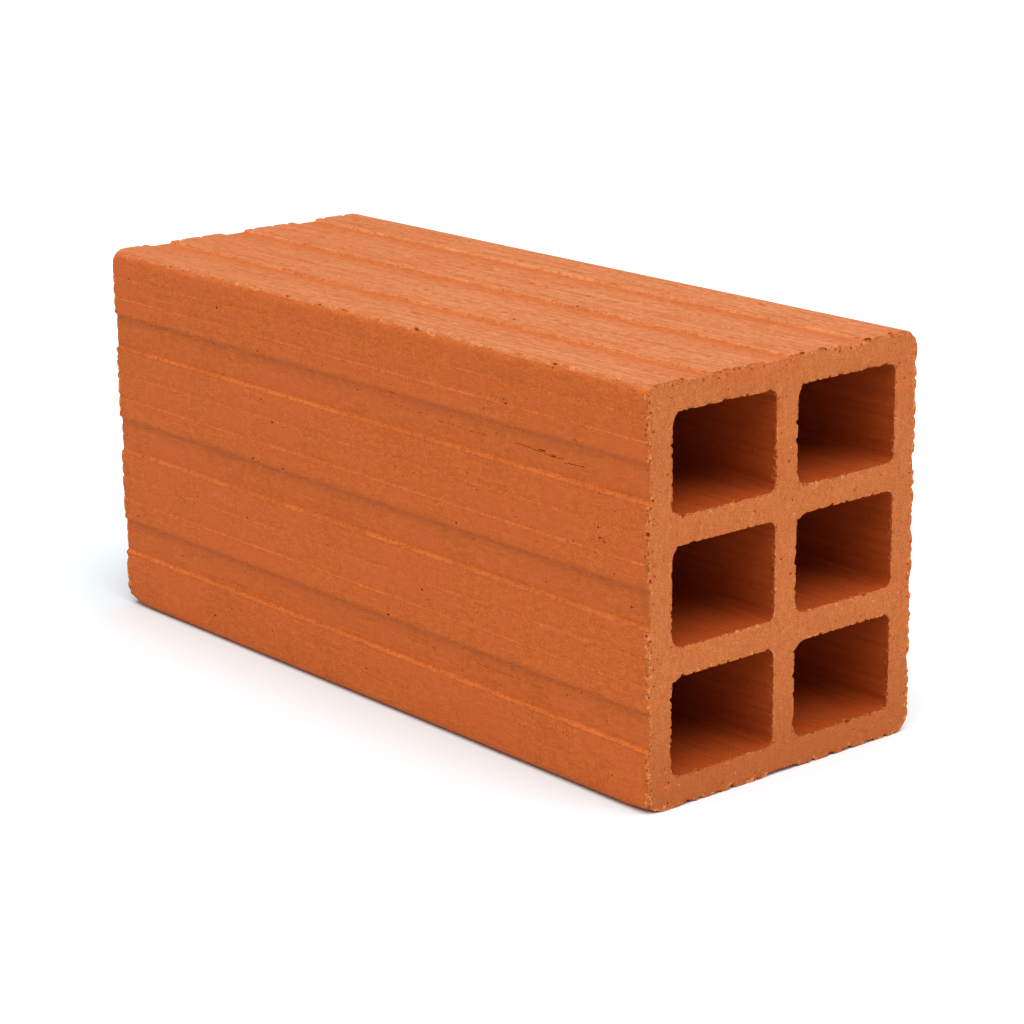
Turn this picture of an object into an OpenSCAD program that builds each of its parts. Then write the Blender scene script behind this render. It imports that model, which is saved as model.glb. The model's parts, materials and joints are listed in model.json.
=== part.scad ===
// Hollow clay brick: one extruded and fired piece, with rectangular cells running along its length.
// Millimetres. The brick lies on its lower bed, X runs along the cells and Z is up. The origin is
// at the middle of the lower bed. The four long faces carry shallow grooves that key the mortar,
// and the two end faces are cut square.

/* [Brick] */
// Length along the cells
brick_l = 225; // [150:1:330]
// Width across the cells
brick_w = 90; // [85:1:110]
// Height, from the lower bed to the upper bed
brick_h = 105; // [102:1:130]
// Rounding of the two long corners beside the front face
front_corner_r = 3; // [1:0.5:6]
// Rounding of the two long corners beside the back face
back_corner_r = 5; // [1:0.5:6]

/* [Cells] */
// Cells across the width
cell_columns = 2; // [1:1:3]
// Cells up the height
cell_rows = 3; // [1:1:4]
// Thickness of the outer walls
wall_t = 7.8; // [7:0.2:10]
// Thickness of the webs between the cells
web_t = 7.4; // [6:0.2:9]
// Rounding of the cell corners towards the front face
cell_front_r = 3.5; // [1:0.5:5]
// Rounding of the cell corners towards the back face
cell_back_r = 2; // [1:0.5:5]

/* [Upper bed] */
// Distance between the grooves of the upper bed
top_pitch = 25.8; // [22:0.2:27]
// Sideways offset of the grooves of the upper bed
top_shift = -3.2; // [-4:0.2:4]
// Width of each groove of the upper bed at its mouth
top_groove_w = 8.8; // [6:0.2:10]
// Depth of each groove of the upper bed
top_groove_d = 0.7; // [0.4:0.1:1.5]

/* [Front face] */
// Distance between the grooves of the front face
front_pitch = 30.4; // [27:0.2:31]
// Height of the middle groove of the front face, from mid-height
front_shift = -1.2; // [-1.6:0.2:1.6]
// Width of each groove of the front face at its mouth
front_groove_w = 10.4; // [6:0.2:11]
// Depth of each groove of the front face at its two edges
front_groove_d = 0.8; // [0.6:0.1:1.5]
// Rise of the convex floor in the middle of each groove
front_crown = 0.2; // [0.1:0.1:0.5]

/* [Lower bed] */
// Distance between the grooves of the lower bed
base_pitch = 26.8; // [24:0.2:28]
// Width of each groove of the lower bed at its mouth
base_groove_w = 11.6; // [8:0.2:12]
// Depth of the middle groove of the lower bed
base_groove_d = 0.9; // [0.4:0.1:1.2]
// Depth of the two outer grooves at their edges
base_edge_d = 0.7; // [0.4:0.1:1]

/* [Back face] */
// Width of the worn hollows of the back face
hollow_w = 5; // [3:0.5:6]
// Depth of the worn hollows of the back face
hollow_d = 0.7; // [0.3:0.1:1]

/* [Comb marks] */
// Width of the comb marks at the surface
mark_w = 1.6; // [1:0.1:2.5]
// Depth of the comb marks of the front face
faint_mark_d = 0.2; // [0.1:0.05:0.4]
// Depth of the light comb marks of the other faces
mark_d = 0.4; // [0.2:0.05:0.5]
// Depth of the heavy comb marks
heavy_mark_d = 0.8; // [0.4:0.05:0.9]

/* [Hidden] */
clay = "#c8693a";
// Facets of a full circle
$fn = 96;
// How far a cutting shape runs past the surface that it cuts
over = 2;
// How far a groove's side wall leans outwards for each millimetre of depth
steep = 0.15;
sloped = 0.9;
// Width of the flat foot beside each wall of a crowned groove
foot = 0.5;
// Size of one cell
cell_w = (brick_w - 2 * wall_t - (cell_columns - 1) * web_t) / cell_columns;
cell_h = (brick_h - 2 * wall_t - (cell_rows - 1) * web_t) / cell_rows;
// Rise of the floor in the two outer grooves of the lower bed
base_crown = base_edge_d - 0.1;
// Comb marks of each face, as distances from the middle of the face
top_marks = [-35, -21.6, -14.4, 4, 11, 16, 29.5, 37];
base_marks = [-16, -8.5, 10, 18];
front_marks = [-20, -13.2, 10.2, 17.2, 39.6, 45.4];
back_marks = [-44.5, -40, -25, -5.5, 1, 6.5, 35, 40];
back_heavy_marks = [-20, 12];
// Middles of the worn hollows of the back face, from mid-height
back_hollows = [-34, -13.5, 18.5];

// Rectangle with round corners, centred, whose left and right corners may differ
module round_rect(w, h, r_left, r_right) {
    translate([-w / 2 + r_left, -h / 2])
        square([w - r_left - r_right, h]);
    translate([-w / 2, -h / 2 + r_left])
        square([w / 2, h - 2 * r_left]);
    translate([0, -h / 2 + r_right])
        square([w / 2, h - 2 * r_right]);
    for (y = [-1, 1]) {
        translate([-w / 2 + r_left, y * (h / 2 - r_left)])
            circle(r = r_left);
        translate([w / 2 - r_right, y * (h / 2 - r_right)])
            circle(r = r_right);
    }
}

// Cutting shape of a flat groove: the surface is at y = 0 and the groove goes down
module groove(w, d, lean) {
    top = w / 2 + over * lean;
    floor = w / 2 - d * lean;
    polygon([[-top, over], [-floor, -d], [floor, -d], [top, over]]);
}

// Cutting shape of a groove whose floor rises in the middle, with a flat foot along each wall
module crowned_groove(w, d, lean, crown) {
    half = w / 2 - d * lean - foot;
    r = (half * half + crown * crown) / (2 * crown);
    difference() {
        groove(w, d, lean);
        translate([0, crown - d - r])
            circle(r = r);
    }
}

// Cutting shapes of a row of narrow comb marks
module marks(places, d) {
    for (p = places)
        translate([p, 0])
            polygon([[-mark_w, d], [0, -d], [mark_w, d]]);
}

// Grooves and marks of the upper bed
module top_relief() {
    for (k = [-1:1])
        translate([top_shift + k * top_pitch, 0])
            groove(top_groove_w, top_groove_d, sloped);
    marks(top_marks, mark_d);
}

// Grooves and marks of the lower bed
module base_relief() {
    groove(base_groove_w, base_groove_d, sloped);
    for (k = [-1, 1])
        translate([k * base_pitch, 0])
            crowned_groove(base_groove_w, base_edge_d, steep, base_crown);
    marks(base_marks, mark_d);
}

// Grooves and marks of the front face
module front_relief() {
    for (k = [-1:1])
        translate([front_shift + k * front_pitch, 0])
            crowned_groove(front_groove_w, front_groove_d, sloped, front_crown);
    marks(front_marks, faint_mark_d);
}

// Worn hollows and marks of the back face
module back_relief() {
    for (z = back_hollows)
        translate([z, 0])
            groove(hollow_w, hollow_d, sloped);
    marks(back_heavy_marks, heavy_mark_d);
    marks(back_marks, mark_d);
}

// Openings of all the cells
module cells() {
    for (i = [0:cell_columns - 1], j = [0:cell_rows - 1])
        translate([(i - (cell_columns - 1) / 2) * (cell_w + web_t),
                   (j - (cell_rows - 1) / 2) * (cell_h + web_t)])
            round_rect(cell_w, cell_h, cell_front_r, cell_back_r);
}

// Cross-section of the brick, centred on mid-width and mid-height, with the front on the left
module section() {
    difference() {
        round_rect(brick_w, brick_h, front_corner_r, back_corner_r);
        cells();
        translate([0, brick_h / 2])
            top_relief();
        translate([0, -brick_h / 2])
            mirror([0, 1])
                base_relief();
        translate([-brick_w / 2, 0])
            rotate(90)
                front_relief();
        translate([brick_w / 2, 0])
            mirror([1, 0])
                rotate(90)
                    back_relief();
    }
}

// The whole brick, extruded along X
module brick() {
    color(clay)
        translate([-brick_l / 2, 0, brick_h / 2])
            rotate([90, 0, 90])
                linear_extrude(height = brick_l)
                    section();
}

brick();
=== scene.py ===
"""Looks of a hollow clay brick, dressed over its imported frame."""

import json
import logging
import math
import random
from dataclasses import dataclass, field
from enum import Enum
from typing import Iterable, Sequence

import bmesh
import bpy
from mathutils import Matrix, Quaternion, Vector, noise


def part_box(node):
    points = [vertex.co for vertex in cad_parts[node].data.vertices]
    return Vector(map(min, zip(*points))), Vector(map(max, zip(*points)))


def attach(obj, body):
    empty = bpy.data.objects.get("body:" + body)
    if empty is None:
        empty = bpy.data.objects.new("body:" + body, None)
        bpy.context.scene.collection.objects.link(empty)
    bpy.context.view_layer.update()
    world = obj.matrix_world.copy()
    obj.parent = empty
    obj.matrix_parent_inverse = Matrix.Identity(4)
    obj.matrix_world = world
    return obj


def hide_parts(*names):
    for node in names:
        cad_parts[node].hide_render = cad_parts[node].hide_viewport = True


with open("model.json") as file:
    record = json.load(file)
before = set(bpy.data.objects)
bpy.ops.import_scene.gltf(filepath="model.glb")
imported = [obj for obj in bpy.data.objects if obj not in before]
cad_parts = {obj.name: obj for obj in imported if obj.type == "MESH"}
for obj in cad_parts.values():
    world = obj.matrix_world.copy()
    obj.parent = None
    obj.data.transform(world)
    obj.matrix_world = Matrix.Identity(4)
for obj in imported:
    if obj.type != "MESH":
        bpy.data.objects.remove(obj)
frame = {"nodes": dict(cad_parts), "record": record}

LOG = logging.getLogger("brick")
MM = 0.001
NODE = "brick"
# Room that the stated openings leave to the walls of a cell
CELL_CLEARANCE = 1.2 * MM
# Rounding of the corners towards the front and towards the back
CELL_ROUNDING = (3.5 * MM, 2.0 * MM)
CORNER_ROUNDING = (3.0 * MM, 5.0 * MM)
# Deepest that any groove or mark of a long face goes
GROOVE_DEPTH = 1.6 * MM
# Inset of the round long corners, where no groove or mark runs
CORNER_INSET = 4.5 * MM
BACK_INSET = 6.0 * MM

Span = tuple[float, float]
Place = tuple[float, float, float]
Colour = tuple[float, float, float, float]
BMesh, Node, NodeTree = bmesh.types.BMesh, bpy.types.Node, bpy.types.NodeTree


class Mark(Enum):
    """Point attributes that tell the finish what a spot on the clay is, and where it paints light
    and shade.
    """

    CUT = "cut_face"
    WALL = "cell_wall"
    WORN = "worn"
    # depth under the box, darkened as painted shade in the recesses
    RECESS_SHADE = "recess_shade"
    # painted highlight on walls and marks that face the light
    PAINTED_HIGHLIGHT = "painted_highlight"
    # painted shade beside the upper edges of the grooves
    LEDGE_SHADE = "ledge_shade"
    # pale dusting with painted sheen on upward faces
    BLOOM = "dust_and_sheen"
    # painted shade, with darker clay, in the bitten pits, chips and cracks
    PIT_SHADE = "pit"


class Side(Enum):
    """The long faces of the brick, each with its outward normal."""

    FRONT = (0.0, -1.0, 0.0)
    BACK = (0.0, 1.0, 0.0)
    TOP = (0.0, 0.0, 1.0)
    BASE = (0.0, 0.0, -1.0)


def smooth_step(low: float, high: float, value: float) -> float:
    """Smooth ramp from 0 to 1.

    Args:
        low: Value at which the ramp starts.
        high: Value at which it ends.
        value: The value to place on it.

    Returns:
        The height of the ramp, from 0 to 1.
    """
    t = min(1.0, max(0.0, (value - low) / (high - low)))
    return t * t * (3.0 - 2.0 * t)


def fade(distance: float, reach: float) -> float:
    """Falls evenly from 1 at no distance to 0 at the reach."""
    return max(0.0, 1.0 - distance / reach)


@dataclass(frozen=True)
class RoundRect:
    """A rectangle in the brick's section, in metres, with its own rounding front and back."""

    y: float
    z: float
    half_w: float
    half_h: float
    rounding: Span

    def gap(self, y: float, z: float) -> float:
        """Distance from a point to the outline.

        Args:
            y: Place of the point across the brick.
            z: Height of the point.

        Returns:
            The distance in metres, negative inside the rectangle.
        """
        r = self.rounding[0 if y < self.y else 1]
        a = abs(y - self.y) - self.half_w + r
        b = abs(z - self.z) - self.half_h + r
        return math.hypot(max(a, 0.0), max(b, 0.0)) + min(max(a, b), 0.0) - r


@dataclass
class Section:
    """The brick's cross-section: its outline and its cells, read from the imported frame."""

    low: Vector = field(default_factory=lambda: Vector(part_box(NODE)[0]))
    high: Vector = field(default_factory=lambda: Vector(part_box(NODE)[1]))
    outline: RoundRect = field(init=False)
    cells: list[RoundRect] = field(default_factory=list)
    known: dict[tuple[int, int], Span] = field(default_factory=dict)
    key_step: float = 0.01 * MM

    def __post_init__(self) -> None:
        """Works out the outline and the cells."""
        mid, half = (self.low + self.high) / 2, (self.high - self.low) / 2
        self.outline = RoundRect(mid.y, mid.z, half.y, half.z, CORNER_ROUNDING)
        for opening in frame["record"]["physics"]["openings"]:
            lo, hi = (Vector(corner) for corner in opening["box_m"])
            half_w, half_h = (hi.y - lo.y) / 2 + CELL_CLEARANCE, (hi.z - lo.z) / 2 + CELL_CLEARANCE
            y, z = (lo.y + hi.y) / 2, (lo.z + hi.z) / 2
            self.cells.append(RoundRect(y, z, half_w, half_h, CELL_ROUNDING))

    @property
    def half_length(self) -> float:
        """Half the brick's length along its cells."""
        return (self.high.x - self.low.x) / 2

    def across(self, share: float) -> float:
        """Place at a share of the width, counted from the front."""
        return self.low.y + share * (self.high.y - self.low.y)

    def up(self, share: float) -> float:
        """Height at a share of the brick's height."""
        return self.low.z + share * (self.high.z - self.low.z)

    def gaps(self, y: float, z: float) -> Span:
        """How deep a point of the section lies in the clay.

        Args:
            y: Place of the point across the brick.
            z: Height of the point.

        Returns:
            Its depth under the outline and its distance to the nearest cell wall, in metres.
        """
        key = (round(y / self.key_step), round(z / self.key_step))
        if key not in self.known:
            cell_gap = min(cell.gap(y, z) for cell in self.cells)
            self.known[key] = (-self.outline.gap(y, z), cell_gap)
        return self.known[key]

    def skin(self, p: Vector) -> bool:
        """Tells whether a point belongs to the long faces, grooves and marks included."""
        return self.gaps(p.y, p.z)[0] < GROOVE_DEPTH

    def rim(self, y: float, z: float) -> float:
        """Depth of a point inside the clay, from the nearest long or cell wall."""
        return min(self.gaps(y, z))

    def recess(self, p: Vector) -> float:
        """How far a point of a long face lies under the box."""
        return min(p.y - self.low.y, self.high.y - p.y, p.z - self.low.z, self.high.z - p.z)

    def marked(self, side: Side, p: Vector) -> bool:
        """Tells whether a spot lies on the grooved part of a long face, between its corners.

        Args:
            side: The long face.
            p: The spot.

        Returns:
            True between the corners.
        """
        if side in (Side.FRONT, Side.BACK):
            return self.low.z + CORNER_INSET < p.z < self.high.z - CORNER_INSET
        return self.low.y + CORNER_INSET < p.y < self.high.y - BACK_INSET


@dataclass(frozen=True)
class Bite:
    """One hole bitten out of the clay: a pit, a torn chip, or a crack when it is stretched."""

    place: Vector
    size: Vector
    turn: float = 0.0
    axis: str = "Z"
    # how much painted shade, with darker clay, darkens the bite's hollow
    mark: float = 1.0


@dataclass(frozen=True)
class Crack:
    """A ragged drag crack that runs with the length of the front face.

    Along and up are shares of the half length and of the height. Length, width, the half length
    of each piece, the sag and the depth of the groove's floor are in millimetres.
    """

    along: float
    up: float
    length: float
    width: float
    piece: float
    spread: float
    sag: float = 0.0
    floor: float = 0.75
    # how much painted shade, with darker clay, darkens the crack
    mark: float = 1.0


@dataclass
class Bites:
    """Pits, drag cracks and torn chips, laid out over the brick and made into one cutter.

    Radii, reaches and steps are in millimetres. Shares are of the width, the height or a cell.
    """

    section: Section
    rng: random.Random = field(default_factory=lambda: random.Random(23))
    bites: list[Bite] = field(default_factory=list)
    apart: float = 1.15
    side_pits: int = 76
    pit_radius: Span = (0.14, 0.26)
    pit_most: float = 0.42
    pit_margin: Span = (8.0, 5.0)
    pit_rows: tuple[float, ...] = (0.825, 0.54, 0.245)
    front_pits: int = 84
    front_radius: Span = (0.22, 0.42)
    front_depth: Span = (0.5, 0.62)
    end_pits: int = 70
    end_radius: Span = (0.16, 0.32)
    end_rim: float = 1.3
    crack_deep: float = 0.5
    pock_radius: Span = (0.14, 0.32)
    pock_reach: Span = (0.1, 1.7)
    pock_step: Span = (0.6, 3.6)
    deep_pock: float = 0.663
    tick_size: tuple[float, Span, float] = (0.32, (0.5, 0.88), 0.15)
    ticks: tuple[float, ...] = (-0.86, -0.1, 0.55, 0.84)
    notch_radius: Span = (0.22, 0.55)
    lip_step: float = 2.0
    far_notches: float = 0.05
    nick_radius: Span = (0.8, 1.35)
    nicks: tuple[float, ...] = (0.145, 0.19, 0.31, 0.45, 0.62, 0.69, 0.765, 0.84, 0.91)
    inner_inset: float = 1.4
    inner_radius: Span = (0.10, 0.26)
    chip_inset: float = 0.9
    chip_radius: Span = (0.14, 0.30)
    flakes: tuple[float, ...] = (0.11, 0.28, 0.42, 0.55, 0.63, 0.80, 0.90)
    cracks: tuple[Crack, ...] = (
        Crack(0.575, 0.779, 16.0, 0.09, 1.3, 0.95, 0.5, mark=0.6),
        Crack(0.650, 0.776, 5.0, 0.17, 1.2, 0.80, 0.7, mark=0.8),
        Crack(0.730, 0.772, 6.5, 0.11, 1.0, 1.00, -0.5, mark=0.7),
        Crack(0.310, 0.783, 19.0, 0.08, 0.7, 1.70, mark=0.5),
        Crack(0.150, 0.792, 14.0, 0.08, 0.6, 2.10, mark=0.5),
        Crack(0.180, 0.208, 10.0, 0.08, 0.8, 1.50, mark=0.5),
        Crack(0.430, 0.209, 24.0, 0.08, 0.8, 1.60, mark=0.5),
        Crack(0.845, 0.612, 2.4, 0.22, 0.6, 1.00, 1.2, 0.2, 0.7),
        Crack(0.535, 0.872, 1.4, 0.20, 0.4, 1.00, 1.0, 0.2, 0.7),
    )

    def plan(self) -> None:
        """Lays out every bite."""
        self.plan_faces()
        self.plan_cracks()
        self.plan_pocks()
        for end in (self.section.half_length, -self.section.half_length):
            self.plan_cell_lips(end)
            self.plan_outer_lips(end)
        self.plan_long_arris()
        self.plan_front_pits()
        self.plan_flakes()
        LOG.info("bites: %d", len(self.bites))

    def offer(self, bite: Bite) -> None:
        """Keeps a bite if it stays clear of those already kept.

        Args:
            bite: The bite to keep.
        """
        reach = max(bite.size)
        for other in self.bites:
            if (other.place - bite.place).length < self.apart * (reach + max(other.size)):
                return
        self.bites.append(bite)

    def plan_faces(self) -> None:
        """Scatters round pits over the long faces and the cut ends."""
        s, half, draw = self.section, self.section.half_length, self.rng.uniform
        along, edge = (gap * MM for gap in self.pit_margin)
        for side in Side:
            n = Vector(side.value)
            for _ in range(self.side_pits):
                r = draw(*self.pit_radius) * MM * (1.5 if self.rng.random() < 0.15 else 1.0)
                x = draw(along - half, half - along)
                y = n.y * s.high.y if n.y else draw(s.low.y + edge, s.high.y - edge)
                if n.z:
                    z = s.high.z if n.z > 0 else s.low.z
                else:
                    z = draw(edge, s.high.z - edge)
                if n.y and self.rng.random() < 0.4:
                    z = s.up(self.rng.choice(self.pit_rows)) + draw(-0.8, 0.8) * MM
                    r = min(self.pit_most * MM, r * draw(1.1, 1.9))
                spot = Vector((x, y, z)) - n * 0.25 * MM
                self.offer(Bite(spot, Vector((r * draw(1.0, 1.7), r, r)), draw(-0.3, 0.3)))
        for end in (half, -half):
            for _ in range(self.end_pits):
                y, z = draw(s.low.y, s.high.y), draw(s.low.z, s.high.z)
                if s.rim(y, z) < self.end_rim * MM:
                    continue
                r = draw(*self.end_radius) * MM
                size = Vector((r * 1.4, r * draw(0.6, 2.2), r * 0.8))
                spot = Vector((end * (1 - 0.2 * MM / half), y, z))
                self.offer(Bite(spot, size, draw(-1.5, 1.5), "X"))

    def plan_cracks(self) -> None:
        """Lays the ragged drag cracks that run with the length of the front face."""
        s, draw = self.section, self.rng.uniform
        for crack in self.cracks:
            x, z = crack.along * s.half_length, s.up(crack.up)
            length = crack.length * MM
            reach = x + length
            while x < reach:
                piece = crack.piece * MM * draw(0.6, 1.4)
                sag = crack.sag * MM * ((x - reach) / length) ** 2
                y = s.low.y + crack.floor * MM
                spot = Vector((x + piece, y, z + sag + draw(-0.12, 0.12) * MM))
                width = crack.width * MM * draw(0.7, 1.2)
                size = Vector((piece * 1.15, self.crack_deep * MM, width))
                self.bites.append(Bite(spot, size, 0.0, "Y", crack.mark))
                x += 2.0 * piece * crack.spread
                z += draw(-0.14, 0.08) * MM

    def plan_pocks(self) -> None:
        """Pocks the upright arrises of the front face, with one deep pock above mid-height."""
        s, half, draw = self.section, self.section.half_length, self.rng.uniform
        for end in (half, -half):
            inward = -1.0 if end > 0 else 1.0
            deep = Vector((end + inward * 0.3 * MM, s.low.y + 0.3 * MM, s.up(self.deep_pock)))
            self.offer(Bite(deep, Vector((0.7, 0.5, 0.6)) * MM, mark=0.8))
            z = s.low.z + 4.0 * MM
            while z < s.high.z - 2.0 * MM:
                r = draw(*self.pock_radius) * MM
                onto = draw(*self.pock_reach) * MM
                spot = Vector((end + inward * 0.15 * MM, s.low.y + onto, z))
                if self.rng.random() < 0.45:
                    spot = Vector((end + inward * onto * 0.8, s.low.y + 0.15 * MM, z))
                size = Vector((r * 1.3, r * 1.2, r * draw(0.8, 2.2)))
                self.offer(Bite(spot, size, draw(-0.5, 0.5), "X", 0.5))
                z += draw(*self.pock_step) * MM

    def plan_cell_lips(self, end: float) -> None:
        """Tears ticks and notches out of the mouth of every cell.

        Args:
            end: Place of the cut end along the brick.
        """
        draw = self.rng.uniform
        high, wide, deep = self.tick_size
        for cell in self.section.cells:
            for share in self.ticks:
                side = self.rng.choice((-1.0, 1.0, 1.0))
                y = cell.y + side * (cell.half_w + 0.3 * MM)
                z = cell.z + (share + draw(-0.1, 0.1)) * cell.half_h
                size = Vector((high, draw(*wide), deep)) * MM
                self.offer(Bite(Vector((end, y, z)), size, draw(-0.5, 0.5), "X", 0.8))
            for y, z in self.walk(cell):
                self.offer(self.notch(end, y, z, 1.0))

    def plan_outer_lips(self, end: float) -> None:
        """Tears notches and nicks out of the arrises round the outline.

        Args:
            end: Place of the cut end along the brick.
        """
        s, half, draw = self.section, self.section.half_length, self.rng.uniform
        out, inset = s.outline, self.inner_inset * MM
        for y, z in self.walk(out):
            if end > 0 or self.rng.random() < self.far_notches:
                self.offer(self.notch(end, y, z, 0.62))
        for share in self.nicks:
            r = draw(*self.nick_radius) * MM
            spot = Vector((end * (1 - 0.5 * MM / half), s.across(share), s.low.z - 0.1 * MM))
            size = Vector((2.4 * r, r * draw(0.7, 1.3), r * draw(0.85, 1.2)))
            self.bites.append(Bite(spot, size, draw(-0.4, 0.4), "X", 0.9))
        inner = RoundRect(out.y, out.z, out.half_w - inset, out.half_h - inset, out.rounding)
        for y, z in self.walk(inner):
            if self.rng.random() < 0.35:
                continue
            r = draw(*self.inner_radius) * MM
            y, z = y + draw(-0.8, 0.8) * MM, z + draw(-0.8, 0.8) * MM
            size = Vector((r * 1.6, r, r * draw(0.8, 2.6)))
            spot = Vector((end * (1 - 0.2 * MM / half), y, z))
            self.offer(Bite(spot, size, draw(-1.2, 1.2), "X", draw(0.4, 1.0)))

    def walk(self, loop: RoundRect) -> Iterable[Span]:
        """Walks round a loop of the section in uneven steps.

        Args:
            loop: The loop to follow.

        Yields:
            Points on the loop's four straight sides.
        """
        step, uneven = self.lip_step * MM, (0.35, 1.9)
        w, h = loop.half_w - max(loop.rounding), loop.half_h - max(loop.rounding)
        for sign in (-1, 1):
            y = -w
            while y < w:
                yield loop.y + y, loop.z + sign * loop.half_h
                y += step * self.rng.uniform(*uneven)
            z = -h
            while z < h:
                yield loop.y + sign * loop.half_w, loop.z + z
                z += step * self.rng.uniform(*uneven)

    def notch(self, end: float, y: float, z: float, share: float) -> Bite:
        """A torn notch on an arris.

        Args:
            end: Place of the cut end along the brick.
            y: Place of the notch across the brick.
            z: Height of the notch.
            share: Its size, as a share of a notch at the mouth of a cell.

        Returns:
            The bite that tears it.
        """
        draw = self.rng.uniform
        r = draw(*self.notch_radius) * MM * share
        if self.rng.random() < 0.08:
            r *= 1.6
        size = Vector((r * draw(1.0, 2.2), r * draw(0.7, 1.3), r * draw(0.7, 1.3)))
        spot = Vector((end + math.copysign(0.35 * MM, -end), y, z))
        return Bite(spot, size, draw(-0.6, 0.6), "X", 0.7 * share)

    def plan_long_arris(self) -> None:
        """Chips the two upper long arrises."""
        s, half, draw = self.section, self.section.half_length, self.rng.uniform
        inset, margin = self.chip_inset * MM, 4.0 * MM
        for y in (s.low.y + inset, s.high.y - inset):
            x = -half + margin
            while x < half - margin:
                r = draw(*self.chip_radius) * MM * (1.5 if self.rng.random() < 0.12 else 1.0)
                side, down = y + draw(-0.3, 0.3) * MM, s.high.z - inset + draw(-0.3, 0.3) * MM
                size = Vector((r * draw(1.2, 3.6), r, r))
                self.offer(Bite(Vector((x, side, down)), size, draw(-0.1, 0.1), "Z", 0.4))
                x += draw(1.0, 4.0) ** 2 * MM

    def plan_front_pits(self) -> None:
        """Adds the larger pits of the front face, half of them by its grooves' shaded edges."""
        s, half, draw = self.section, self.section.half_length, self.rng.uniform
        under, deep = (depth * MM for depth in self.front_depth)
        for _ in range(self.front_pits):
            r = draw(*self.front_radius) * MM
            x = draw(6 * MM - half, half - 6 * MM)
            z = draw(5 * MM, s.high.z - 5 * MM)
            if self.rng.random() < 0.5:
                z = s.up(self.rng.choice(self.pit_rows)) + draw(-1.6, 1.2) * MM
            size = Vector((r * draw(0.9, 1.6), deep, r * draw(0.8, 1.2)))
            spot = Vector((x, s.low.y + under, z))
            self.offer(Bite(spot, size, draw(-0.6, 0.6), "Y", 0.9))

    def plan_flakes(self) -> None:
        """Flakes shallow scars off the upper arris of the near end."""
        s, draw = self.section, self.rng.uniform
        for share in self.flakes:
            size = Vector((draw(0.5, 0.9), draw(0.9, 1.7), draw(0.30, 0.50))) * MM
            spot = Vector((s.half_length - 0.4 * MM, s.across(share), s.high.z - 0.35 * MM))
            self.bites.append(Bite(spot, size, draw(-0.5, 0.5), "Z", 0.35))

    def cutter(self) -> bpy.types.Object:
        """Makes one mesh of all the bites.

        Returns:
            The cutter object, whose points carry the pit mark of painted shade.
        """
        batch = 24
        whole = bmesh.new()
        for first in range(0, len(self.bites), batch):
            part = bpy.data.meshes.new("bites_part")
            self.cut_batch(self.bites[first : first + batch], first).to_mesh(part)
            whole.from_mesh(part)
            bpy.data.meshes.remove(part)
        mesh = bpy.data.meshes.new("bites")
        whole.to_mesh(mesh)
        whole.free()
        return bpy.data.objects.new("bites", mesh)

    @staticmethod
    def cut_batch(bites: Sequence[Bite], first: int) -> BMesh:
        """Makes some of the bites, each a lumpy ball.

        Args:
            bites: The bites to make.
            first: Number of the first one, which makes each lump its own.

        Returns:
            A mesh of closed balls.
        """
        large, grain, lumpy = 0.9 * MM, 1400.0, 0.35
        bm = bmesh.new()
        mark = bm.verts.layers.float.new(Mark.PIT_SHADE.value)
        for count, bite in enumerate(bites, first):
            form = Matrix.Translation(bite.place) @ Matrix.Rotation(bite.turn, 4, bite.axis)
            form = form @ Matrix.Diagonal((*bite.size, 1.0))
            rings = 2 if max(bite.size) > large else 1
            ball = bmesh.ops.create_icosphere(bm, subdivisions=rings, radius=1.0, matrix=form)
            for vert in ball["verts"]:
                away = vert.co - bite.place
                lump = noise.noise(away * grain + Vector((count * 7.3, 0.0, 0.0)))
                vert.co = bite.place + away * (1.0 + lumpy * lump)
                vert[mark] = bite.mark
        return bm


@dataclass(frozen=True)
class Spot:
    """A point of the shell before it is worn, with its gaps in metres."""

    p: Vector
    end_gap: float
    depth: float
    cell_gap: float

    @property
    def in_cell(self) -> bool:
        """Tells whether it is on the wall of a cell."""
        return self.cell_gap < 0.3 * MM

    @property
    def arris(self) -> float:
        """Distance to the nearest arris of a cut end, along the clay."""
        return self.end_gap + max(0.0, min(self.depth, self.cell_gap))


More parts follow.
